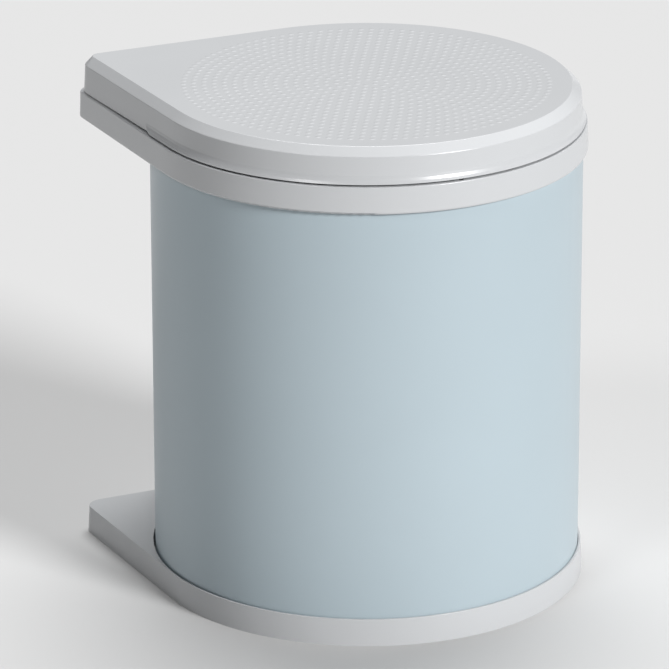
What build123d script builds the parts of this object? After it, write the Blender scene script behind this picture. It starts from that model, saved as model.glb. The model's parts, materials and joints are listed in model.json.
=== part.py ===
from build123d import *
import os
from math import acos, asin, atan2, cos, degrees, hypot, radians, sin, sqrt

# Built-in kitchen bin that swings out of its cupboard about one corner.
# The drum axis is Z and the floor is z = 0. The cupboard wall is on the +Y side,
# the cupboard door on the -X side, and the pivot corner lies between them.

# Plan outline: a circle drawn out to one corner by its two tangents
corner_angle = 87.7
wall_direction = 90.0

# Drum
drum_radius = 137.0
drum_wall = 0.8
drum_top_gap = 0.3
drum_tab_width = 14.0
drum_tab_length = 10.0
seam_width = 9.0
seam_line = 0.7
seam_line_depth = 0.25
seam_direction = 62.0

# Base
base_height = 17.6
base_rim = 2.9
base_bottom_radius = drum_radius + base_rim
base_draft = 1.0
base_side_inset = 7.0
base_side = base_bottom_radius - base_side_inset
base_corner_radius = 12.0
base_edge_fillet = 0.45
base_deck = 2.5
base_skirt = 2.4
base_floor = 2.5
floor_top = 7.0
floor_pocket_wall = 3.4
recess_clearance = 0.9
recess_shift = 0.5
recess_wall = 2.2
rib_width = 2.0
rib_lift = 0.8
rib_count = 12
rib_ring_radius = drum_radius * 0.525
centre_pad_radius = 16.0

# Frame
frame_bottom = 284.7
frame_height = 17.6
frame_rim = 3.1
frame_bottom_radius = drum_radius + frame_rim
frame_draft = 0.6
frame_corner_radius = 19.6
frame_door_turn = 0.85
frame_edge_fillet = 0.8
frame_foot_fillet = 1.6
frame_deck = 2.5
frame_drum_clearance = 0.4
frame_collar_wall = 2.0
frame_collar_depth = 11.0
mouth_inset = 6.0
mouth_radius = drum_radius - mouth_inset
mouth_lip = 2.0
mouth_lip_depth = 3.3
hinge_guard_height = 5.6
hinge_guard_wall = 2.0
hinge_guard_start = 13.4
hinge_guard_length = 108.0

# Lid
lid_lip_gap = 1.35
lid_lip_height = 6.8
lid_skirt_height = 9.95
lid_draft = 1.0
lid_flare_steps = 4
lid_chamfer_height = 5.1
lid_lip_inset = 1.5
lid_lip_width = 3.0
lid_chamfer_width = 5.8
lid_lip_radius = frame_bottom_radius - lid_lip_inset
lid_skirt_radius = lid_lip_radius - lid_lip_width
lid_foot_radius = lid_skirt_radius + lid_draft
lid_top_radius = lid_skirt_radius - lid_chamfer_width
lid_top_corner_radius = 6.0
lid_corner_radius = 14.3
lid_edge_fillet = 0.8
lid_top_wall = 2.5
lid_skirt_wall = 2.2
lid_lip_start = 36.0
lid_lip_run = 9.0
lid_tip_gap = 0.4
lid_step_gap = 1.3
lid_rib_depth = 3.5
lid_rib_width = 1.6
lid_rib_ring_radius = mouth_radius * 0.75
lid_rib_count = 8

# Swing pivot
swing_range = 90.0
pivot_pin_radius = 6.0
pivot_running_gap = 0.05
pivot_tail_radius = 4.0
pivot_tail_gap = 0.04
pivot_head_radius = 6.0
pivot_head = 1.0
pivot_flat = 3.0
pivot_blind_gap = 0.9
bush_wall = 2.0
bush_seat_gap = 0.03
bush_flange_radius = 9.5
bush_flange = 1.0
boss_wall = 2.2
thrust_gap = 0.3

# Wall bracket
bracket_sheet = 2.5
bracket_gap = 0.4
bracket_offset = 49.437
bracket_width = 40.0
bracket_bottom = 2.5
bracket_bend = 1.5
upper_arm_lift = 2.3
arm_end_radius = 9.0
arm_clearance = 0.6
slot_end_room = 2.4
slot_margin_angle = 3.5
wall_hole_radius = 2.75
wall_hole_spacing_x = 20.0
wall_hole_spacing_z = 180.0
wall_hole_height = 150.0
bead_width = 9.0
bead_length = 220.0
bead_depth = 1.2
buffer_radius = 6.0
buffer_gap = 0.3
buffer_spacing_z = 100.0

# Lid hinge
lid_open = 60.0
hinge_inset = 11.1
hinge_y = frame_bottom_radius - hinge_inset
hinge_z = 312.0
hinge_pin_radius = 2.0
hinge_running_gap = 0.05
hinge_knuckle_radius = 4.0
hinge_post_width = 8.0
hinge_post_offsets = (23.4, 73.4)
hinge_side_gap = 0.6
hinge_ear_width = 5.0
hinge_cap_radius = 3.4
hinge_cap_width = 1.5
hinge_pin_proud = 1.0
hinge_plate = 1.5
hinge_plate_depth = 22.0
hinge_plate_back = hinge_y - 0.2
hinge_screw_spacing = 18.0
lid_rear_trim = 309.0
lid_notch_top = 317.0
lid_notch_gap = 1.0

# Cam on the upper pin, and the lid's follower on it
cam_floor_gap = 0.4
cam_hub_radius = 6.0
cam_outer_radius = 10.8
cam_hub_height = 1.7
cam_disc_height = 1.5
cam_high_dwell = 18.0
cam_section_angle = 6.0
cam_gap = 0.4
follower_offset_x = 8.5
follower_offset_y = -1.0
follower_width = 4.0
follower_nose_radius = 3.2
follower_plate_x = 28.0
follower_plate_y = 17.0
follower_plate_shift = -1.0
follower_plate = 1.5
follower_screw_spacing = 20.0

# Screws
screw_radius = 1.5
screw_clearance = 0.1
screw_head_radius = 3.0
screw_head = 1.6
screw_count = 4
screw_start_angle = 45.0
base_screw_length = 6.0
frame_screw_height = 291.0
frame_screw_bite = 1.6
frame_screw_seat = 0.06
lid_screw_bite = 1.6
cam_screw_length = 8.0
cam_screw_head_radius = 5.2

# Lid bumpers
bumper_radius = 1.5
bumper_sink = 1.0
bumper_proud = 1.05
bumper_angles = (205.0, 270.0, 335.0)

# Inner bucket
bucket_rim_gap = 0.8
bucket_rim_width = 3.6
bucket_rim_height = 5.0
bucket_rim_top = 298.5
bucket_wall = 1.6
bucket_floor = 2.0
bucket_bottom_radius = mouth_radius - 12.0
bucket_foot_width = 9.0
bucket_foot_height = 1.0
bucket_lug_wall = 3.0
bucket_lug_half_width = 5.5
bucket_lug_rise = 5.2

# Carrying bail
bail_wire_radius = 2.0
bail_running_gap = 0.06
bail_end_room = 0.5
bail_lift = 0.3
bail_bend_radius = 4.5
bail_bend_gap = 0.4
bail_reach = mouth_radius - 12.0
grip_radius = 5.0
grip_angle = 44.0
grip_bore_gap = 0.1

# Directions and heights that follow from the sizes above
half_corner_sine = sin(radians(corner_angle / 2))
door_direction = wall_direction + 180 - corner_angle
corner_direction = (wall_direction + door_direction) / 2
corner_x = cos(radians(corner_direction))
corner_y = sin(radians(corner_direction))
frame_top = frame_bottom + frame_height
frame_deck_underside = frame_top - frame_deck
frame_top_radius = frame_bottom_radius - frame_draft
frame_bore = drum_radius + frame_drum_clearance
drum_bore = drum_radius - drum_wall
drum_top = frame_deck_underside - drum_top_gap
base_deck_underside = base_height - base_deck
base_floor_underside = floor_top - base_floor
recess_radius = drum_radius + recess_clearance
lid_lip_bottom = frame_top + lid_lip_gap
lid_skirt_bottom = lid_lip_bottom + lid_lip_height
lid_chamfer_bottom = lid_skirt_bottom + lid_skirt_height
lid_top = lid_chamfer_bottom + lid_chamfer_height
lid_underside = lid_top - lid_top_wall
lid_inner_radius = lid_skirt_radius - lid_skirt_wall
chamfer_slope = (lid_skirt_radius - lid_top_radius) / lid_chamfer_height


def corner_point(radius):
    """Sharp corner of the outline whose circle has this radius."""
    reach = radius / half_corner_sine
    return (reach * corner_x, reach * corner_y)


def teardrop(radius, corner_radius, height):
    """Face of the plan outline at a height, its circle of this radius."""
    with BuildSketch(Plane.XY.offset(height)) as outline:
        with BuildLine():
            turn = 360 + wall_direction - door_direction
            rim = CenterArc((0, 0), radius, door_direction, turn)
            Line(rim @ 1, corner_point(radius))
            Line(corner_point(radius), rim @ 0)
        make_face()
        tip = outline.vertices().sort_by_distance((*corner_point(radius), height))[0]
        fillet(tip, corner_radius)
    return outline.sketch


def base_outline(inset, height):
    """Face of the base outline, drawn in by an inset; its wall side is set back."""
    radius = base_bottom_radius - inset
    side = base_side - inset
    wall_end = 180 - degrees(asin(side / radius))
    corner = ((radius - side * sin(radians(door_direction))) / cos(radians(door_direction)), side)
    with BuildSketch(Plane.XY.offset(height)) as outline:
        with BuildLine():
            rim = CenterArc((0, 0), radius, door_direction, 360 + wall_end - door_direction)
            Line(rim @ 1, corner)
            Line(corner, rim @ 0)
        make_face()
        tip = outline.vertices().sort_by_distance((*corner, height))[0]
        fillet(tip, base_corner_radius - inset)
    return outline.sketch


# The pivot stands at the centre of the frame's corner rounding, so the corner
# turns on the spot beside the wall.
pivot_x, pivot_y = corner_point(frame_bottom_radius - frame_corner_radius)
pivot = (pivot_x, pivot_y)


def frame_outline(radius, height):
    """Face of the frame outline: its door side is turned in and eased into the corner."""
    door_side = door_direction - frame_door_turn
    corner_radius = radius - pivot_y
    flank = radius - pivot_x * cos(radians(door_side)) - pivot_y * sin(radians(door_side))
    round_end = door_side - degrees(acos(flank / corner_radius))
    with BuildSketch(Plane.XY.offset(height)) as outline:
        with BuildLine():
            rim = CenterArc((0, 0), radius, door_side, 360 + wall_direction - door_side)
            tip = CenterArc(pivot, corner_radius, wall_direction, round_end - wall_direction)
            Line(rim @ 1, tip @ 0)
            Line(tip @ 1, rim @ 0)
        make_face()
        meeting = tip @ 1
        edge = outline.vertices().sort_by_distance((meeting.X, meeting.Y, height))[0]
        fillet(edge, corner_radius / 2)
    return outline.sketch


bush_radius = pivot_pin_radius + pivot_running_gap + bush_wall
boss_radius = bush_radius + bush_seat_gap + boss_wall

# Bracket
bracket_left = pivot_x + bracket_offset
bracket_right = bracket_left + bracket_width
bracket_front = frame_bottom_radius + bracket_gap
bracket_back = bracket_front + bracket_sheet
bracket_middle = (bracket_left + bracket_right) / 2
lower_arm_top = bracket_bottom + bracket_sheet
upper_arm_bottom = frame_bottom + upper_arm_lift
bracket_top = upper_arm_bottom + bracket_sheet
lower_boss_bottom = lower_arm_top + thrust_gap + bush_flange
upper_boss_bottom = bracket_top + thrust_gap + bush_flange

# The arm's outer edge sweeps round the corner skirts, whose slots end past it
frame_tip_bore = frame_bore - frame_bottom_radius + frame_corner_radius
base_side_room = base_side - base_skirt - pivot_y
base_tip_bore = base_side_room * sqrt(2)
arm_length = hypot(bracket_left - pivot_x, bracket_back - pivot_y)
arm_lean = degrees(atan2(bracket_back - pivot_y, bracket_left - pivot_x)
                   - asin(arm_end_radius / arm_length))

# Cam and follower
cam_bottom = frame_top + cam_floor_gap
cam_hub_top = cam_bottom + cam_hub_height
cam_disc_top = cam_bottom + cam_disc_height
nose_x = pivot_x + follower_offset_x
nose_y = pivot_y + follower_offset_y
nose_z = cam_disc_top + cam_gap + follower_nose_radius

# Lid hinge line
hinge_post_centres = [pivot_x + offset for offset in hinge_post_offsets]
hinge_guard_left = pivot_x + hinge_guard_start
ear_outer_left = hinge_post_centres[0] + hinge_post_width / 2 + hinge_side_gap
ear_outer_right = hinge_post_centres[1] - hinge_post_width / 2 - hinge_side_gap
hinge_middle = (ear_outer_left + ear_outer_right) / 2
plate_middle = hinge_plate_back - hinge_plate_depth / 2
pin_left = hinge_post_centres[0] - hinge_post_width / 2 - hinge_pin_proud
pin_right = hinge_post_centres[1] + hinge_post_width / 2 + hinge_pin_proud

# Bucket and bail
bucket_rim_radius = mouth_radius - bucket_rim_gap
bucket_neck_radius = bucket_rim_radius - bucket_rim_width
bail_side = bucket_rim_radius - bucket_lug_wall - bail_bend_gap - bail_bend_radius
bail_z = bucket_rim_top + bail_wire_radius + bail_lift
bail_end = mouth_radius - bail_end_room
bail_hole_radius = bail_wire_radius + bail_running_gap


def corner_slot(bottom, top, skirt_inner, tip_bore, inner, right):
    """Space that the bracket arm needs through a corner skirt as the bin swings."""
    outer = frame_corner_radius * 1.4
    slot_end = (swing_range + arm_lean + degrees(asin(arm_end_radius / tip_bore))
                + slot_margin_angle)
    with BuildPart() as slot:
        with BuildSketch(Plane.XY.offset(bottom)):
            with Locations((pivot_x, skirt_inner - 1)):
                Rectangle(right + slot_end_room - pivot_x, bracket_back - skirt_inner,
                          align=(Align.MIN, Align.MIN))
            with BuildLine():
                near = CenterArc(pivot, inner, 90, slot_end - 90)
                far = CenterArc(pivot, outer, 90, slot_end - 90)
                Line(near @ 0, far @ 0)
                Line(near @ 1, far @ 1)
            make_face()
        extrude(amount=top - bottom)
    return slot.part


def radial_plane(angle, radius, height):
    """Plane facing outward at a place on the drum."""
    out = (cos(radians(angle)), sin(radians(angle)), 0)
    return Plane(origin=(radius * out[0], radius * out[1], height), z_dir=out)


def screw_angles():
    """Directions of the screws round the drum."""
    return [screw_start_angle + 360 * number / screw_count for number in range(screw_count)]


def screw(length):
    """Pan head screw, its shank up from z = 0 and its slotted head below."""
    middle = (Align.CENTER, Align.CENTER, Align.MIN)
    with BuildPart() as one_screw:
        Cylinder(screw_radius, length, align=middle)
        with Locations((0, 0, -screw_head)):
            Cylinder(screw_head_radius, screw_head, align=middle)
            Box(2 * screw_head_radius, screw_head / 2, screw_head / 2, align=middle,
                mode=Mode.SUBTRACT)
    return one_screw.part


def nose_place(swing):
    """Height and depth of the follower's nose centre at a swing angle."""
    lift = radians(swing * lid_open / swing_range)
    arm_y = nose_y - hinge_y
    arm_z = nose_z - hinge_z
    return (hinge_y + arm_y * cos(lift) + arm_z * sin(lift),
            hinge_z - arm_y * sin(lift) + arm_z * cos(lift))


def follower_underside(offset, lift):
    """Height of the follower's lower edge over its nose centre, at a place behind it."""
    radius = follower_nose_radius
    if offset <= radius * cos(lift):
        return -sqrt(radius ** 2 - offset ** 2) if offset > -radius else None
    along = (offset - radius * cos(lift)) / max(sin(lift), 0.01)
    return along * cos(lift) - radius * sin(lift)


def cam_height(angle):
    """Highest cam surface that the follower clears at every swing angle."""
    heights = [nose_place(swing_range)[1] - follower_nose_radius - cam_gap]
    for step in range(91):
        swing = swing_range * step / 90
        lift = radians(swing * lid_open / swing_range)
        centre_y, centre_z = nose_place(swing)
        turned = radians(angle + swing)
        for share in range(12):
            reach = cam_hub_radius + (cam_outer_radius - cam_hub_radius) * share / 11
            if abs(reach * cos(turned) - follower_offset_x) > follower_width / 2 + cam_gap:
                continue
            under = follower_underside(pivot_y + reach * sin(turned) - centre_y, lift)
            if under is not None:
                heights.append(centre_z + under - cam_gap)
    return max(min(heights), cam_disc_top)


# Base plate: plastic foot with a round recess for the drum and a pivot corner
with BuildPart() as base_plate:
    loft([base_outline(0, 0), base_outline(base_draft, base_height)], ruled=True)
    fillet(base_plate.edges().group_by(Axis.Z)[-1], base_edge_fillet)
    with BuildSketch(Plane.XY.offset(floor_top)):
        with Locations((recess_shift * corner_x, recess_shift * corner_y)):
            Circle(recess_radius)
    extrude(amount=base_height, mode=Mode.SUBTRACT)
    with BuildSketch():
        Circle(base_bottom_radius - floor_pocket_wall)
    extrude(amount=base_floor_underside, mode=Mode.SUBTRACT)
    with BuildSketch():
        add(base_outline(base_skirt, 0))
        Circle(recess_radius + recess_wall, mode=Mode.SUBTRACT)
    extrude(amount=base_deck_underside, mode=Mode.SUBTRACT)
    with BuildSketch(Plane.XY.offset(rib_lift)):
        Circle(rib_ring_radius + rib_width / 2)
        Circle(rib_ring_radius - rib_width / 2, mode=Mode.SUBTRACT)
        rib_length = base_bottom_radius - floor_pocket_wall - centre_pad_radius / 2
        with PolarLocations(centre_pad_radius / 2, rib_count):
            Rectangle(rib_length, rib_width, align=(Align.MIN, Align.CENTER))
    extrude(amount=base_floor_underside - rib_lift)
    with BuildSketch():
        Circle(centre_pad_radius)
    extrude(amount=base_floor_underside)
    with BuildSketch(Plane.XY.offset(lower_boss_bottom)):
        with Locations(pivot):
            Circle(boss_radius)
    extrude(amount=base_deck_underside - lower_boss_bottom)
    with BuildSketch(Plane.XY.offset(lower_boss_bottom)):
        with Locations(pivot):
            Circle(bush_radius + bush_seat_gap)
    extrude(amount=base_deck_underside - lower_boss_bottom, mode=Mode.SUBTRACT)
    with BuildSketch():
        with PolarLocations(drum_bore - drum_tab_length / 2, screw_count, screw_start_angle):
            Circle(screw_radius + screw_clearance)
    extrude(amount=floor_top, mode=Mode.SUBTRACT)
    add(corner_slot(0, lower_arm_top + arm_clearance, base_side - base_skirt, base_tip_bore,
                    arm_end_radius + arm_clearance, bracket_middle), mode=Mode.SUBTRACT)
base_plate.part.label = "base_plate"

# Drum: sheet steel sleeve with a lapped seam at the back and four tabs at its foot
with BuildPart() as drum_sleeve:
    with BuildSketch(Plane.XY.offset(floor_top)):
        Circle(drum_radius)
        Circle(drum_bore, mode=Mode.SUBTRACT)
    extrude(amount=drum_top - floor_top)
    with BuildSketch(Plane.XY.offset(floor_top)):
        with PolarLocations(drum_bore + drum_wall / 2, screw_count, screw_start_angle):
            Rectangle(drum_tab_length + drum_wall / 2, drum_tab_width,
                      align=(Align.MAX, Align.CENTER))
        with PolarLocations(drum_bore - drum_tab_length / 2, screw_count, screw_start_angle):
            Circle(screw_radius + screw_clearance, mode=Mode.SUBTRACT)
    extrude(amount=drum_wall)
    with BuildSketch(Plane.XY.offset(floor_top + drum_tab_length)):
        with PolarLocations(drum_bore, 1, seam_direction):
            Rectangle(2 * drum_wall, seam_width)
        Circle(drum_bore + drum_wall / 2, mode=Mode.INTERSECT)
    extrude(amount=drum_top - floor_top - 2 * drum_tab_length)
    with BuildSketch(Plane.XY.offset(floor_top)):
        with PolarLocations(drum_radius, 1, seam_direction):
            Rectangle(2 * seam_line_depth, seam_line)
    extrude(amount=drum_top - floor_top, mode=Mode.SUBTRACT)
    for angle in screw_angles():
        with BuildSketch(radial_plane(angle, drum_bore - drum_wall, frame_screw_height)):
            Circle(screw_radius + screw_clearance)
        extrude(amount=3 * drum_wall, mode=Mode.SUBTRACT)
drum_sleeve.part.label = "drum_sleeve"

# Frame: plastic top frame, hollow below, with the bucket mouth and the hinge posts
with BuildPart() as frame_ring:
    loft([frame_outline(frame_bottom_radius, frame_bottom),
          frame_outline(frame_top_radius, frame_top)], ruled=True)
    outer_rims = frame_ring.edges().group_by(Axis.Z)
    fillet(outer_rims[0], frame_foot_fillet)
    fillet(frame_ring.edges().group_by(Axis.Z)[-1], frame_edge_fillet)
    add(extrude(frame_outline(frame_bore, frame_bottom), frame_height - frame_deck,
                mode=Mode.PRIVATE), mode=Mode.SUBTRACT)
    with BuildSketch(Plane.XY.offset(frame_deck_underside - frame_collar_depth)):
        Circle(frame_bore + frame_collar_wall)
        Circle(frame_bore, mode=Mode.SUBTRACT)
    extrude(amount=frame_collar_depth)
    with BuildSketch(Plane.XY.offset(frame_deck_underside - mouth_lip_depth)):
        Circle(mouth_radius + mouth_lip)
    extrude(amount=mouth_lip_depth)
    with BuildSketch(Plane.XY.offset(upper_boss_bottom)):
        with Locations(pivot):
            Circle(boss_radius)
    extrude(amount=frame_deck_underside - upper_boss_bottom)
    with BuildSketch(Plane.XY.offset(upper_boss_bottom)):
        Circle(mouth_radius)
        with Locations(pivot):
            Circle(bush_radius + bush_seat_gap)
    extrude(amount=frame_top - upper_boss_bottom, mode=Mode.SUBTRACT)
    with BuildSketch(Plane.XY.offset(frame_top)):
        with Locations((hinge_guard_left, frame_top_radius - frame_edge_fillet)):
            Rectangle(hinge_guard_length, hinge_guard_wall,
                      align=(Align.MIN, Align.MAX))
    extrude(amount=hinge_guard_height)
    for centre in hinge_post_centres:
        with BuildSketch(Plane.YZ.offset(centre - hinge_post_width / 2)):
            with Locations((hinge_y, hinge_z)):
                Circle(hinge_knuckle_radius)
                Rectangle(2 * hinge_knuckle_radius, hinge_z - frame_top,
                          align=(Align.CENTER, Align.MAX))
                Circle(hinge_pin_radius + hinge_running_gap, mode=Mode.SUBTRACT)
        extrude(amount=hinge_post_width)
    with BuildSketch(Plane.XY.offset(frame_top - bumper_sink)):
        for angle in bumper_angles:
            with PolarLocations((lid_inner_radius + lid_lip_radius) / 2, 1, angle):
                Circle(bumper_radius)
    extrude(amount=bumper_sink, mode=Mode.SUBTRACT)
    for angle in screw_angles():
        with BuildSketch(radial_plane(angle, drum_radius, frame_screw_height)):
            Circle(screw_radius + screw_clearance)
        extrude(amount=frame_drum_clearance + frame_screw_bite, mode=Mode.SUBTRACT)
    add(corner_slot(frame_bottom, bracket_top + arm_clearance, frame_bore, frame_tip_bore,
                    frame_tip_bore * 0.85, bracket_right), mode=Mode.SUBTRACT)
frame_ring.part.label = "frame_ring"

# Lid: hollow shell with a chamfered top, a skirt and a flared lip round the front
edge_out = (cos(radians(door_direction)), sin(radians(door_direction)))
edge_along = (edge_out[1], -edge_out[0])
lip_slope = (lid_lip_radius - lid_foot_radius) / lid_lip_run
lip_marks = [(lid_skirt_radius * 0.8, lid_lip_start),
             (lid_foot_radius, lid_lip_start),
             (lid_lip_radius + 3, lid_lip_start - (lid_lip_radius + 3 - lid_foot_radius) / lip_slope),
             (lid_lip_radius + 3, 2 * lid_lip_radius),
             (lid_skirt_radius * 0.8, 2 * lid_lip_radius)]
lip_end = [(out * edge_out[0] + along * edge_along[0], out * edge_out[1] + along * edge_along[1])
           for out, along in lip_marks]
step_reach = (lid_foot_radius * (edge_out[0] * corner_x + edge_out[1] * corner_y)
              + lid_lip_start * (edge_along[0] * corner_x + edge_along[1] * corner_y))
tip_reach = lid_skirt_radius / half_corner_sine
across = Plane(origin=(0, 0, 0), x_dir=(corner_x, corner_y, 0), z_dir=(corner_y, -corner_x, 0))
skirt_slope = lid_draft / (lid_chamfer_bottom - frame_top)
flare_top_radius = lid_skirt_radius + skirt_slope * lid_skirt_height
flare_angle = 2 * atan2(lid_lip_radius - flare_top_radius, lid_lip_height)
flare_radius = lid_lip_height / sin(flare_angle)
flare_faces = [teardrop(lid_skirt_radius - 1, lid_corner_radius, lid_skirt_bottom + 1)]
for step in range(lid_flare_steps + 1):
    angle = flare_angle * step / lid_flare_steps
    flare_faces.append(teardrop(flare_top_radius + flare_radius * (1 - cos(angle)),
                                lid_corner_radius, lid_skirt_bottom - flare_radius * sin(angle)))
with BuildPart() as lid_lip:
    loft(flare_faces, ruled=True)
    with BuildSketch(Plane.XY.offset(lid_lip_bottom)):
        with BuildLine():
            Polyline(*lip_end, close=True)
        make_face()
        mirror(about=across)
    extrude(amount=2 * lid_lip_height, mode=Mode.SUBTRACT)
with BuildPart() as lid_shell:
    loft([teardrop(lid_skirt_radius, lid_corner_radius, lid_chamfer_bottom),
          teardrop(lid_top_radius, lid_top_corner_radius, lid_top)], ruled=True)
    loft([teardrop(lid_foot_radius, lid_corner_radius + lid_draft, frame_top),
          teardrop(lid_skirt_radius, lid_corner_radius, lid_chamfer_bottom)], ruled=True)
    outer_edges = lid_shell.edges().group_by(Axis.Z)
    fillet(outer_edges[-1], lid_edge_fillet)
    fillet(lid_shell.edges().filter_by_position(Axis.Z, lid_chamfer_bottom - 0.01,
                                                lid_chamfer_bottom + 0.01), lid_edge_fillet)
    add(lid_lip.part)
    with BuildSketch(across):
        with BuildLine():
            Polyline((-2 * lid_skirt_radius, frame_top), (-2 * lid_skirt_radius, lid_lip_bottom),
                     (step_reach, lid_lip_bottom), (step_reach, frame_top + lid_step_gap),
                     (tip_reach, frame_top + lid_tip_gap), (tip_reach, frame_top), close=True)
        make_face()
    extrude(amount=2 * lid_skirt_radius, both=True, mode=Mode.SUBTRACT)
    inner_chamfer_bottom = lid_chamfer_bottom - lid_skirt_wall / 2
    inner_top_radius = lid_inner_radius - (lid_underside - inner_chamfer_bottom) * chamfer_slope
    inner_corner = lid_corner_radius - lid_skirt_wall
    inner = teardrop(lid_inner_radius, inner_corner, frame_top)
    add(extrude(inner, inner_chamfer_bottom - frame_top, mode=Mode.PRIVATE), mode=Mode.SUBTRACT)
    loft([teardrop(lid_inner_radius, inner_corner, inner_chamfer_bottom),
          teardrop(inner_top_radius, inner_corner / 2, lid_underside)],
         ruled=True, mode=Mode.SUBTRACT)
    with BuildSketch(Plane.XY.offset(lid_underside - lid_rib_depth)):
        Circle(lid_rib_ring_radius + lid_rib_width / 2)
        Circle(lid_rib_ring_radius - lid_rib_width / 2, mode=Mode.SUBTRACT)
        with PolarLocations(0, lid_rib_count, 22.5):
            Rectangle(lid_rib_ring_radius, lid_rib_width, align=(Align.MIN, Align.CENTER))
    extrude(amount=lid_rib_depth)
    with BuildSketch(Plane.XY.offset(frame_top)):
        with Locations((-lid_skirt_radius * 1.1, hinge_y)):
            Rectangle(lid_skirt_radius * 1.6, lid_skirt_radius, align=(Align.MIN, Align.MIN))
    extrude(amount=lid_rear_trim - frame_top, mode=Mode.SUBTRACT)
    with BuildSketch(Plane.XY.offset(frame_top)):
        for centre in hinge_post_centres:
            with Locations((centre, hinge_y)):
                Rectangle(hinge_post_width + 2 * lid_notch_gap, lid_skirt_radius,
                          align=(Align.CENTER, Align.MIN))
        with Locations((hinge_post_centres[0], hinge_y)):
            Rectangle(lid_skirt_radius, lid_skirt_radius, align=(Align.MAX, Align.MIN))
    extrude(amount=lid_notch_top - frame_top, mode=Mode.SUBTRACT)
    with BuildSketch(Plane.XY.offset(lid_underside)):
        with Locations((hinge_middle, plate_middle)):
            with GridLocations(hinge_screw_spacing, hinge_screw_spacing / 2, 2, 2):
                Circle(screw_radius + screw_clearance)
        with Locations((nose_x, nose_y + follower_plate_shift)):
            with GridLocations(follower_screw_spacing, 0, 2, 1):
                Circle(screw_radius + screw_clearance)
    extrude(amount=lid_screw_bite, mode=Mode.SUBTRACT)
lid_shell.part.label = "lid_shell"

# Wall bracket: strip against the cupboard wall, an arm at each end, and a bead
with BuildPart() as wall_bracket:
    for height in (bracket_bottom, upper_arm_bottom):
        with BuildSketch(Plane.XY.offset(height)):
            with Locations(pivot):
                Circle(arm_end_radius)
            with Locations((bracket_left, bracket_front)):
                Rectangle(bracket_right - bracket_left, bracket_sheet,
                          align=(Align.MIN, Align.MIN))
            make_hull()
        extrude(amount=bracket_sheet)
    with BuildSketch(Plane.XY.offset(bracket_bottom)):
        with Locations((bracket_left, bracket_front)):
            Rectangle(bracket_right - bracket_left, bracket_sheet, align=(Align.MIN, Align.MIN))
    extrude(amount=bracket_top - bracket_bottom)
    inner_bends = (wall_bracket.edges().filter_by(Axis.X)
                   .filter_by_position(Axis.Y, bracket_front - 0.01, bracket_front + 0.01))
    inner_bends = inner_bends.filter_by_position(Axis.Z, lower_arm_top - 0.01, upper_arm_bottom + 0.01)
    fillet(inner_bends, bracket_bend)
    outer_bends = (wall_bracket.edges().filter_by(Axis.X)
                   .filter_by_position(Axis.Y, bracket_back - 0.01, bracket_back + 0.01))
    chamfer(outer_bends.group_by(Axis.Z)[0] + outer_bends.group_by(Axis.Z)[-1], bracket_bend)
    with BuildSketch(Plane.XZ.offset(-bracket_front)):
        with Locations((bracket_middle, wall_hole_height)):
            SlotOverall(bead_length, bead_width, rotation=90)
    extrude(amount=bead_depth)
    with BuildSketch(Plane.XZ.offset(-bracket_back)):
        with Locations((bracket_middle, wall_hole_height)):
            SlotOverall(bead_length - bead_width / 2, bead_width / 2, rotation=90)
    extrude(amount=bead_depth, mode=Mode.SUBTRACT)
    with BuildSketch(Plane.XZ.offset(-bracket_back)):
        with Locations((bracket_middle, wall_hole_height)):
            with GridLocations(wall_hole_spacing_x, wall_hole_spacing_z, 2, 2):
                Circle(wall_hole_radius)
    extrude(amount=2 * bracket_sheet, mode=Mode.SUBTRACT)
    with BuildSketch(Plane.XY.offset(bracket_bottom)):
        with Locations(pivot):
            Circle(pivot_tail_radius + pivot_tail_gap)
    extrude(amount=bracket_top - bracket_bottom, mode=Mode.SUBTRACT)
wall_bracket.part.label = "wall_bracket"

# Rubber buffers on the strip, hollowed to the drum's curve
with BuildPart() as drum_buffers:
    with BuildSketch(Plane.XZ.offset(-bracket_front + bead_depth)):
        with Locations((bracket_middle, wall_hole_height)):
            with GridLocations(0, buffer_spacing_z, 1, 2):
                Circle(buffer_radius)
    extrude(amount=4 * buffer_radius)
    with BuildSketch():
        Circle(drum_radius + buffer_gap)
    extrude(amount=frame_bottom, mode=Mode.SUBTRACT)
drum_buffers.part.label = "drum_buffers"

# Pivot pins, each riveted to its arm by a tail
with BuildPart() as lower_pivot_pin:
    with BuildSketch(Plane.XY.offset(lower_arm_top)):
        with Locations(pivot):
            Circle(pivot_pin_radius)
    extrude(amount=base_deck_underside - pivot_blind_gap - lower_arm_top)
    with BuildSketch(Plane.XY.offset(bracket_bottom)):
        with Locations(pivot):
            Circle(pivot_tail_radius)
    extrude(amount=bracket_sheet)
    with BuildSketch(Plane.XY.offset(bracket_bottom - pivot_head)):
        with Locations(pivot):
            Circle(pivot_head_radius)
    extrude(amount=pivot_head)
lower_pivot_pin.part.label = "lower_pivot_pin"

with BuildPart() as upper_pivot_pin:
    with BuildSketch(Plane.XY.offset(bracket_top)):
        with Locations(pivot):
            Circle(pivot_pin_radius)
    extrude(amount=cam_bottom - bracket_top)
    with BuildSketch(Plane.XY.offset(upper_arm_bottom)):
        with Locations(pivot):
            Circle(pivot_tail_radius)
    extrude(amount=bracket_sheet)
    with BuildSketch(Plane.XY.offset(upper_arm_bottom - pivot_head)):
        with Locations(pivot):
            Circle(pivot_head_radius)
    extrude(amount=pivot_head)
    with BuildSketch(Plane.XY.offset(cam_bottom)):
        with Locations(pivot):
            Circle(pivot_tail_radius)
        with Locations((pivot_x, pivot_y - pivot_flat)):
            Rectangle(2 * pivot_tail_radius, pivot_tail_radius, align=(Align.CENTER, Align.MAX),
                      mode=Mode.SUBTRACT)
    extrude(amount=cam_hub_height - screw_clearance)
    with BuildSketch(Plane.XY.offset(cam_hub_top - cam_screw_length)):
        with Locations(pivot):
            Circle(screw_radius)
    extrude(amount=cam_screw_length, mode=Mode.SUBTRACT)
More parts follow.
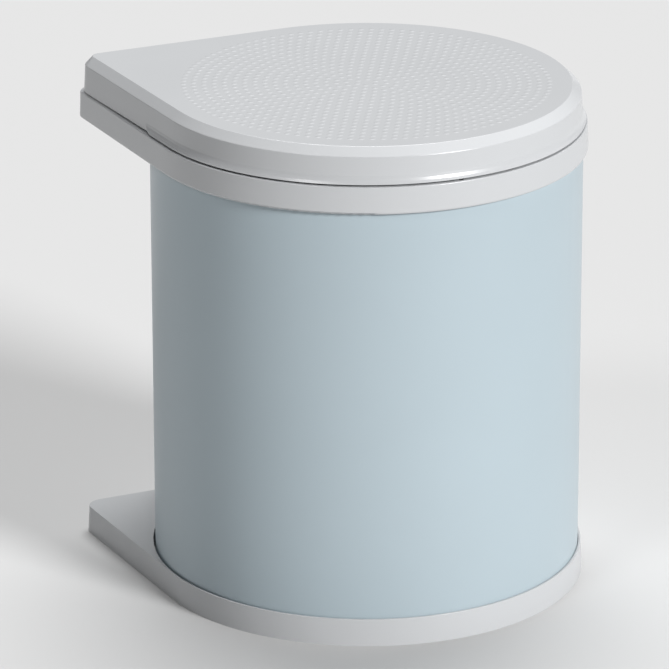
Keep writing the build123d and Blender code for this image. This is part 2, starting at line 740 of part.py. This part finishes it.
upper_pivot_pin.part.label = "upper_pivot_pin"

with BuildPart() as cam_screw:
    with BuildSketch(Plane.XY.offset(cam_hub_top - cam_screw_length)):
        with Locations(pivot):
            Circle(screw_radius)
    extrude(amount=cam_screw_length)
    with BuildSketch(Plane.XY.offset(cam_hub_top)):
        with Locations(pivot):
            Circle(cam_screw_head_radius)
    extrude(amount=screw_head)
    with BuildSketch(Plane.XY.offset(cam_hub_top + screw_head / 2)):
        with Locations(pivot):
            Rectangle(2 * cam_screw_head_radius, screw_head / 2)
    extrude(amount=screw_head / 2, mode=Mode.SUBTRACT)
cam_screw.part.label = "cam_screw"

# Flanged bushes in the base's boss and in the frame's boss
with BuildPart() as lower_bush:
    with BuildSketch(Plane.XY.offset(lower_boss_bottom - bush_flange)):
        with Locations(pivot):
            Circle(bush_flange_radius)
    extrude(amount=bush_flange)
    with BuildSketch(Plane.XY.offset(lower_boss_bottom)):
        with Locations(pivot):
            Circle(bush_radius)
    extrude(amount=base_deck_underside - lower_boss_bottom)
    with BuildSketch(Plane.XY.offset(lower_boss_bottom - bush_flange)):
        with Locations(pivot):
            Circle(pivot_pin_radius + pivot_running_gap)
    extrude(amount=base_height, mode=Mode.SUBTRACT)
lower_bush.part.label = "lower_bush"

with BuildPart() as upper_bush:
    with BuildSketch(Plane.XY.offset(upper_boss_bottom - bush_flange)):
        with Locations(pivot):
            Circle(bush_flange_radius)
    extrude(amount=bush_flange)
    with BuildSketch(Plane.XY.offset(upper_boss_bottom)):
        with Locations(pivot):
            Circle(bush_radius)
    extrude(amount=frame_top - upper_boss_bottom)
    with BuildSketch(Plane.XY.offset(upper_boss_bottom - bush_flange)):
        with Locations(pivot):
            Circle(pivot_pin_radius + pivot_running_gap)
    extrude(amount=frame_height, mode=Mode.SUBTRACT)
upper_bush.part.label = "upper_bush"

# Lid cam: disc on the pin's flatted end with a ramp that climbs round it
ramp_start = degrees(atan2(follower_offset_y, follower_offset_x))
ramp_count = round((swing_range + cam_high_dwell) / cam_section_angle)
with BuildPart() as lid_cam:
    sections = []
    for number in range(ramp_count + 1):
        angle = ramp_start - number * cam_section_angle
        facing = (sin(radians(angle)), -cos(radians(angle)), 0)
        radial = (cos(radians(angle)), sin(radians(angle)), 0)
        rise = max(cam_height(angle), cam_disc_top + 0.05) - cam_bottom
        with BuildSketch(Plane((pivot_x, pivot_y, cam_bottom), x_dir=radial, z_dir=facing),
                         mode=Mode.PRIVATE) as section:
            with Locations((cam_hub_radius / 2, 0)):
                Rectangle(cam_outer_radius, rise, align=(Align.MIN, Align.MIN))
        sections.append(section.sketch)
    loft(sections, ruled=True)
    with BuildSketch(Plane.XY.offset(cam_bottom)):
        with Locations(pivot):
            Circle(cam_outer_radius)
            Circle(cam_hub_radius - 0.2, mode=Mode.SUBTRACT)
    extrude(amount=lid_underside - cam_bottom, mode=Mode.INTERSECT)
    with BuildSketch(Plane.XY.offset(cam_bottom)):
        with Locations(pivot):
            Circle(cam_outer_radius)
    extrude(amount=cam_disc_height)
    with BuildSketch(Plane.XY.offset(cam_bottom)):
        with Locations(pivot):
            Circle(cam_hub_radius)
    extrude(amount=cam_hub_height)
    with BuildSketch(Plane.XY.offset(cam_bottom)):
        with Locations(pivot):
            Circle(pivot_tail_radius)
        with Locations((pivot_x, pivot_y - pivot_flat)):
            Rectangle(2 * pivot_tail_radius, pivot_tail_radius, align=(Align.CENTER, Align.MAX),
                      mode=Mode.SUBTRACT)
    extrude(amount=cam_hub_height, mode=Mode.SUBTRACT)
lid_cam.part.label = "lid_cam"

# Lid follower: plate under the lid with a rounded rib that rides on the cam
with BuildPart() as lid_follower:
    with BuildSketch(Plane.XY.offset(lid_underside - follower_plate)):
        with Locations((nose_x, nose_y + follower_plate_shift)):
            Rectangle(follower_plate_x, follower_plate_y)
            with GridLocations(follower_screw_spacing, 0, 2, 1):
                Circle(screw_radius + screw_clearance, mode=Mode.SUBTRACT)
    extrude(amount=follower_plate)
    with BuildSketch(Plane.YZ.offset(nose_x - follower_width / 2)):
        with Locations((nose_y, nose_z)):
            Circle(follower_nose_radius)
            Rectangle(2 * follower_nose_radius, lid_underside - nose_z,
                      align=(Align.CENTER, Align.MIN))
    extrude(amount=follower_width)
lid_follower.part.label = "lid_follower"

with BuildPart() as follower_screws:
    with Locations((nose_x, nose_y + follower_plate_shift, lid_underside - follower_plate)):
        with GridLocations(follower_screw_spacing, 0, 2, 1):
            add(screw(follower_plate + lid_screw_bite))
follower_screws.part.label = "follower_screws"

# Lid hinge: plate with two ears, beside the frame's posts on one long pin
with BuildPart() as lid_hinge_bracket:
    with BuildSketch(Plane.XY.offset(lid_underside - hinge_plate)):
        with Locations((hinge_middle, hinge_plate_back)):
            Rectangle(ear_outer_right - ear_outer_left, hinge_plate_depth,
                      align=(Align.CENTER, Align.MAX))
        with Locations((hinge_middle, plate_middle)):
            with GridLocations(hinge_screw_spacing, hinge_screw_spacing / 2, 2, 2):
                Circle(screw_radius + screw_clearance, mode=Mode.SUBTRACT)
    extrude(amount=hinge_plate)
    for left in (ear_outer_left, ear_outer_right - hinge_ear_width):
        with BuildSketch(Plane.YZ.offset(left)):
            with Locations((hinge_y, hinge_z)):
                Circle(hinge_knuckle_radius)
            with Locations((hinge_plate_back, lid_underside)):
                Rectangle(hinge_plate_depth * 0.7, hinge_plate, align=(Align.MAX, Align.MAX))
            make_hull()
            with Locations((hinge_y, hinge_z)):
                Circle(hinge_pin_radius + hinge_running_gap, mode=Mode.SUBTRACT)
        extrude(amount=hinge_ear_width)
lid_hinge_bracket.part.label = "lid_hinge_bracket"

with BuildPart() as lid_bracket_screws:
    with Locations((hinge_middle, plate_middle, lid_underside - hinge_plate)):
        with GridLocations(hinge_screw_spacing, hinge_screw_spacing / 2, 2, 2):
            add(screw(hinge_plate + lid_screw_bite))
lid_bracket_screws.part.label = "lid_bracket_screws"

with BuildPart() as lid_hinge_pin:
    with BuildSketch(Plane.YZ.offset(pin_left)):
        with Locations((hinge_y, hinge_z)):
            Circle(hinge_pin_radius)
    extrude(amount=pin_right - pin_left)
lid_hinge_pin.part.label = "lid_hinge_pin"

with BuildPart() as hinge_pin_caps:
    for inner_face, outward in ((pin_left + hinge_pin_proud, -1), (pin_right - hinge_pin_proud, 1)):
        with BuildSketch(Plane.YZ.offset(inner_face)):
            with Locations((hinge_y, hinge_z)):
                Circle(hinge_cap_radius)
        extrude(amount=outward * hinge_cap_width)
        with BuildSketch(Plane.YZ.offset(inner_face)):
            with Locations((hinge_y, hinge_z)):
                Circle(hinge_pin_radius)
        extrude(amount=outward * hinge_pin_proud, mode=Mode.SUBTRACT)
hinge_pin_caps.part.label = "hinge_pin_caps"

with BuildPart() as lid_bumpers:
    with BuildSketch(Plane.XY.offset(frame_top - bumper_sink)):
        for angle in bumper_angles:
            with PolarLocations((lid_inner_radius + lid_lip_radius) / 2, 1, angle):
                Circle(bumper_radius)
    extrude(amount=bumper_sink + bumper_proud)
lid_bumpers.part.label = "lid_bumpers"

# Screws of the drum: radial ones into the frame, upright ones through the base
with BuildPart() as frame_screws:
    for angle in screw_angles():
        with Locations(radial_plane(angle, drum_bore - frame_screw_seat, frame_screw_height)):
            add(screw(drum_wall + frame_drum_clearance + frame_screw_bite))
frame_screws.part.label = "frame_screws"

with BuildPart() as base_screws:
    with Locations((0, 0, base_floor_underside)):
        with PolarLocations(drum_bore - drum_tab_length / 2, screw_count, screw_start_angle):
            add(screw(base_screw_length))
base_screws.part.label = "base_screws"

# Inner bucket: tapered pail with a stepped rim, a foot ring and two bail lugs
with BuildPart() as inner_bucket:
    bucket_bottom = floor_top + bucket_foot_height
    neck_z = bucket_rim_top - bucket_rim_height
    with BuildSketch(Plane.XZ):
        with BuildLine():
            Polyline((0, bucket_bottom), (bucket_bottom_radius - 3, bucket_bottom),
                     (bucket_bottom_radius, bucket_bottom + 3), (bucket_neck_radius, neck_z),
                     (bucket_rim_radius, neck_z), (bucket_rim_radius, bucket_rim_top),
                     (bucket_neck_radius - bucket_wall, bucket_rim_top),
                     (bucket_neck_radius - bucket_wall, neck_z),
                     (bucket_bottom_radius - bucket_wall, bucket_bottom + bucket_floor + 3),
                     (bucket_bottom_radius - bucket_wall - 3, bucket_bottom + bucket_floor),
                     (0, bucket_bottom + bucket_floor), close=True)
        make_face()
    revolve(axis=Axis.Z)
    with BuildSketch(Plane.XY.offset(floor_top)):
        Circle(bucket_bottom_radius - 2 * bucket_foot_height)
        Circle(bucket_bottom_radius - 2 * bucket_foot_height - bucket_foot_width,
               mode=Mode.SUBTRACT)
    extrude(amount=bucket_foot_height)
    for side in (-1, 1):
        with BuildSketch(Plane.YZ.offset(side * (bucket_rim_radius - bucket_lug_wall))):
            with Locations((0, bucket_rim_top - bucket_rim_height / 2)):
                Rectangle(2 * bucket_lug_half_width, bucket_rim_height / 2 + bail_z - bucket_rim_top,
                          align=(Align.CENTER, Align.MIN))
            with Locations((0, bail_z)):
                Circle(bucket_lug_rise - bail_z + bucket_rim_top)
            make_hull()
        extrude(amount=side * bucket_lug_wall)
    with BuildSketch():
        Circle(bucket_rim_radius)
    extrude(amount=frame_top + bucket_rim_height, mode=Mode.INTERSECT)
    with BuildSketch(Plane.YZ):
        with Locations((0, bail_z)):
            Circle(bail_hole_radius)
    extrude(amount=mouth_radius, both=True, mode=Mode.SUBTRACT)
inner_bucket.part.label = "inner_bucket"

# Bail: wire bow hung in the lugs, lying forward on the rim, with a grip
bow_centre = (0, -bail_bend_radius)
bow_depth = bail_reach - bail_bend_radius
pin_start = bail_side + bail_bend_radius
with BuildPart() as bail_wire:
    with BuildLine(Plane.XY.offset(bail_z)):
        bow = EllipticalCenterArc(bow_centre, bail_side, bow_depth, 180, arc_size=180)
    with BuildSketch(Plane(bow @ 0, z_dir=bow % 0)):
        Circle(bail_wire_radius)
    sweep()
    for side in (-1, 1):
        with BuildSketch(Plane.YZ.offset(side * pin_start)):
            with Locations((0, bail_z)):
                Circle(bail_wire_radius)
        revolve(axis=Axis((side * pin_start, -bail_bend_radius, 0), (0, 0, side)),
                revolution_arc=90)
        with BuildSketch(Plane.YZ.offset(side * pin_start)):
            with Locations((0, bail_z)):
                Circle(bail_wire_radius)
        extrude(amount=side * (bail_end - pin_start))
bail_wire.part.label = "bail_wire"

with BuildPart() as bail_grip:
    with BuildLine(Plane.XY.offset(bail_z)):
        grip_line = EllipticalCenterArc(bow_centre, bail_side, bow_depth,
                                        270 - grip_angle / 2, arc_size=grip_angle)
    with BuildSketch(Plane(grip_line @ 0, z_dir=grip_line % 0)):
        Circle(grip_radius)
        Circle(bail_wire_radius + grip_bore_gap, mode=Mode.SUBTRACT)
    sweep()
bail_grip.part.label = "bail_grip"

os.makedirs("parts", exist_ok=True)
for piece in (wall_bracket, lower_pivot_pin, upper_pivot_pin, lid_cam, cam_screw, drum_buffers,
              base_plate, lower_bush, drum_sleeve, base_screws, frame_ring, upper_bush,
              frame_screws, lid_bumpers, lid_hinge_pin, hinge_pin_caps, inner_bucket,
              lid_shell, lid_hinge_bracket, lid_bracket_screws, lid_follower, follower_screws,
              bail_wire, bail_grip):
    export_step(piece.part, f"parts/{piece.part.label}.step")
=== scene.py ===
import json
import math

import bpy
from mathutils import Matrix, Vector


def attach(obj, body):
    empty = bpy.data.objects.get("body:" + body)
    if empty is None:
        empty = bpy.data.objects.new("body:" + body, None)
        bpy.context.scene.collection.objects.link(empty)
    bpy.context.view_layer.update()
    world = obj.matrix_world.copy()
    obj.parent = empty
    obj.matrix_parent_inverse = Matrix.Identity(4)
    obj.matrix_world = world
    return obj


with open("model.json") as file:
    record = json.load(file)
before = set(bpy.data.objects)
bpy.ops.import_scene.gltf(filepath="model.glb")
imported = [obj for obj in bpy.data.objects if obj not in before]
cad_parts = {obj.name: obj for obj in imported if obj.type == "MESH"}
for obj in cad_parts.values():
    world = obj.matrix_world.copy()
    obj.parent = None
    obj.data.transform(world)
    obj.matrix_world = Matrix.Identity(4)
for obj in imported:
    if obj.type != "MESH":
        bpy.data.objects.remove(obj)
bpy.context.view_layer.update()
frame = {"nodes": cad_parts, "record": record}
nodes = frame["nodes"]
MM = 0.001

# Height of the lid's top and sizes of its raised dots, in millimetres
LID_TOP = 325.5
DOT_RINGS = 18
DOTS_IN_FIRST_RING = 6
DOT_PITCH = 6.4
DOT_RADIUS = 2.0
DOT_RISE = 0.2
DOT_SINK = 0.1
DOT_CORNERS = 10
# Heights of a dot's rings of points, each with its share of the dot's radius
DOT_LEVELS = ((-DOT_SINK, 1.0), (0.0, 1.0), (DOT_RISE * 0.5, 0.75), (DOT_RISE * 0.9, 0.4))

# Floor size in metres, its grey and roughness, and the faint light all round
FLOOR_SIZE = 12.0
FLOOR_GREY = 0.52
FLOOR_ROUGHNESS = 0.9
SURROUND_STRENGTH = 0.005

# Edges bent by more than this stay sharp
SHARP_ANGLE = math.radians(25)

# Scale and detail of the fine grain and of the broad unevenness, and the broad one's share
GRAIN = {"Scale": 900.0, "Detail": 3.0}
UNEVENNESS = {"Scale": 14.0, "Detail": 2.0}
UNEVEN_SHARE = 0.02

# Direction (0 is +X), elevation and apparent width in degrees, then strength
LIGHTS = {
    "key": (292, 27, 16, 3.6),
    "back": (60, 65, 40, 3.0),
    "front": (208, 47, 14, 0.5),
}

# Camera, solved from the photograph's edge curves; lengths in millimetres
CAMERA_PLACE = (-1347.6, -2877.2, 1321.0)
CAMERA_AIM = (-18.6, 8.6, 156.5)
CAMERA_ROLL = math.radians(-0.12)
CAMERA_SENSOR = 36.0
CAMERA_LENS = 284.3


class Socket:
    """A node output that can be used in sums."""

    def __init__(self, tree, output):
        self.tree = tree
        self.output = output

    def math(self, operation, first, second):
        node = self.tree.nodes.new("ShaderNodeMath")
        node.operation = operation
        self.tree.fill(node.inputs[0], first)
        self.tree.fill(node.inputs[1], second)
        return Socket(self.tree, node.outputs[0])

    def __add__(self, other):
        return self.math("ADD", self, other)

    def __radd__(self, other):
        return self.math("ADD", other, self)

    def __sub__(self, other):
        return self.math("SUBTRACT", self, other)

    def __rsub__(self, other):
        return self.math("SUBTRACT", other, self)

    def __mul__(self, other):
        return self.math("MULTIPLY", self, other)

    def __rmul__(self, other):
        return self.math("MULTIPLY", other, self)


class Tree:
    """A material's nodes with short names."""

    def __init__(self, name):
        self.material = bpy.data.materials.new(name)
        self.material.use_nodes = True
        self.nodes = self.material.node_tree.nodes
        self.links = self.material.node_tree.links
        self.shader = self.nodes["Principled BSDF"]

    def fill(self, slot, value):
        if isinstance(value, Socket):
            self.links.new(value.output, slot)
        else:
            slot.default_value = value

    def node(self, kind, output=0, **values):
        made = self.nodes.new(kind)
        for key, value in values.items():
            self.fill(made.inputs[key], value)
        return Socket(self, made.outputs[output])

    def mix(self, factor, first, second):
        """A blend of two colours; a mix node's colours are its inputs 6 and 7."""
        made = self.nodes.new("ShaderNodeMix")
        made.data_type = "RGBA"
        self.fill(made.inputs[0], factor)
        self.fill(made.inputs[6], first)
        self.fill(made.inputs[7], second)
        return Socket(self, made.outputs[2])

    def set(self, name, value):
        self.fill(self.shader.inputs[name], value)

    def noise(self, settings):
        """Noise placed by the piece's own coordinates, which are output 3 of their node."""
        place = self.node("ShaderNodeTexCoord", output=3)
        return self.node("ShaderNodeTexNoise", Vector=place, **settings)

    def bump(self, height, distance):
        self.set("Normal", self.node("ShaderNodeBump", Height=height, Distance=distance))


def finish_plain(name, color, roughness, specular=0.5, metallic=0.0, grain_height=0.00001):
    """A one-colour finish with a fine grain and slight unevenness."""
    tree = Tree(name)
    fine = tree.noise(GRAIN)
    broad = tree.noise(UNEVENNESS)
    low = tuple(part * (1 - UNEVEN_SHARE) for part in color) + (1.0,)
    high = tuple(part * (1 + UNEVEN_SHARE) for part in color) + (1.0,)
    tree.set("Base Color", tree.mix(broad, low, high))
    tree.set("Roughness", (broad - 0.5) * (2 * UNEVEN_SHARE) + roughness)
    tree.set("Metallic", metallic)
    tree.set("Specular IOR Level", specular)
    tree.bump(fine, grain_height)
    return tree.material


FINISHES = {
    "housing_plastic": {"color": (0.50, 0.51, 0.522), "roughness": 0.26},
    "drum_coat": {"color": (0.39, 0.465, 0.505), "roughness": 0.34, "grain_height": 0.000004},
    "bracket_steel": {"color": (0.42, 0.43, 0.44), "roughness": 0.4, "metallic": 0.6},
    "bright_steel": {"color": (0.72, 0.72, 0.73), "roughness": 0.22, "metallic": 1.0},
    "bearing_plastic": {"color": (0.80, 0.79, 0.75), "roughness": 0.28},
    "black_rubber": {"color": (0.025, 0.025, 0.027), "roughness": 0.75, "specular": 0.3},
    "bucket_plastic": {"color": (0.055, 0.06, 0.065), "roughness": 0.45},
}
materials = {name: finish_plain(name, **finish) for name, finish in FINISHES.items()}


def dress(obj, slot_name):
    """Gives a piece its material and names its slot."""
    obj.data.materials.clear()
    obj.data.materials.append(materials[slot_name])


slots = {part["node"]: part["material_slot"] for part in frame["record"]["subparts"]}
for name, obj in nodes.items():
    dress(obj, slots[name])
    obj.data.shade_smooth()
    obj.data.set_sharp_from_angle(angle=SHARP_ANGLE)


def make_mesh(name, body, slot_name, verts, faces):
    """A new piece from points in millimetres, riding on a body."""
    mesh = bpy.data.meshes.new(name)
    mesh.from_pydata([Vector(v) * MM for v in verts], [], faces)
    mesh.shade_smooth()
    mesh.set_sharp_from_angle(angle=SHARP_ANGLE)
    obj = bpy.data.objects.new(name, mesh)
    bpy.context.scene.collection.objects.link(obj)
    dress(obj, slot_name)
    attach(obj, body)


# Raised dots in rings on the lid's top
dot_verts = []
dot_faces = []
for ring in range(1, DOT_RINGS + 1):
    count = DOTS_IN_FIRST_RING * ring
    for number in range(count):
        angle = 2 * math.pi * number / count
        cx, cy = DOT_PITCH * ring * math.cos(angle), DOT_PITCH * ring * math.sin(angle)
        start = len(dot_verts)
        for level, share in DOT_LEVELS:
            for corner in range(DOT_CORNERS):
                turn = 2 * math.pi * corner / DOT_CORNERS
                dot_verts.append((cx + DOT_RADIUS * share * math.cos(turn),
                                  cy + DOT_RADIUS * share * math.sin(turn), LID_TOP + level))
        top = len(dot_verts)
        dot_verts.append((cx, cy, LID_TOP + DOT_RISE))
        dot_verts.append((cx, cy, LID_TOP - DOT_SINK))
        highest = top - DOT_CORNERS
        for corner in range(DOT_CORNERS):
            after = (corner + 1) % DOT_CORNERS
            for low in range(start, highest, DOT_CORNERS):
                dot_faces.append((low + corner, low + after,
                                  low + after + DOT_CORNERS, low + corner + DOT_CORNERS))
            dot_faces.append((highest + corner, highest + after, top))
            dot_faces.append((start + after, start + corner, top + 1))
make_mesh("lid_dots", "lid", "housing_plastic", dot_verts, dot_faces)

# Floor
bpy.ops.mesh.primitive_plane_add(size=FLOOR_SIZE, location=(0, 0, 0))
floor = bpy.context.object
floor.name = "floor"
floor_tree = Tree("floor_paper")
floor_tree.set("Base Color", (FLOOR_GREY, FLOOR_GREY, FLOOR_GREY, 1.0))
floor_tree.set("Roughness", FLOOR_ROUGHNESS)
floor.data.materials.append(floor_tree.material)

bpy.context.scene.view_settings.view_transform = "Standard"

# Studio light: a faint even light all round, and far soft lamps
world = bpy.data.worlds.new("surroundings")
bpy.context.scene.world = world
world.use_nodes = True
surround = world.node_tree.nodes["Background"]
surround.inputs["Color"].default_value = (1.0, 1.0, 1.0, 1.0)
surround.inputs["Strength"].default_value = SURROUND_STRENGTH


def soft_light(name, direction, elevation, width, strength):
    """A far soft light, with its angles in degrees."""
    a, e = math.radians(direction), math.radians(elevation)
    towards = Vector((math.cos(a) * math.cos(e), math.sin(a) * math.cos(e), math.sin(e)))
    data = bpy.data.lights.new(name, "SUN")
    data.angle = math.radians(width)
    data.energy = strength
    lamp = bpy.data.objects.new(name, data)
    lamp.rotation_mode = "QUATERNION"
    lamp.rotation_quaternion = (-towards).to_track_quat("-Z", "Y")
    bpy.context.scene.collection.objects.link(lamp)


for name, values in LIGHTS.items():
    soft_light(name, *values)

# Camera
camera_data = bpy.data.cameras.new("camera")
camera_data.sensor_width = CAMERA_SENSOR
camera_data.lens = CAMERA_LENS
camera = bpy.data.objects.new("camera", camera_data)
camera.location = Vector(CAMERA_PLACE) * MM
camera.rotation_mode = "QUATERNION"
look = (Vector(CAMERA_AIM) - Vector(CAMERA_PLACE)).to_track_quat("-Z", "Y")
roll = Matrix.Rotation(CAMERA_ROLL, 3, "Z").to_quaternion()
camera.rotation_quaternion = look @ roll
bpy.context.scene.collection.objects.link(camera)
bpy.context.scene.camera = camera

bpy.context.view_layer.update()
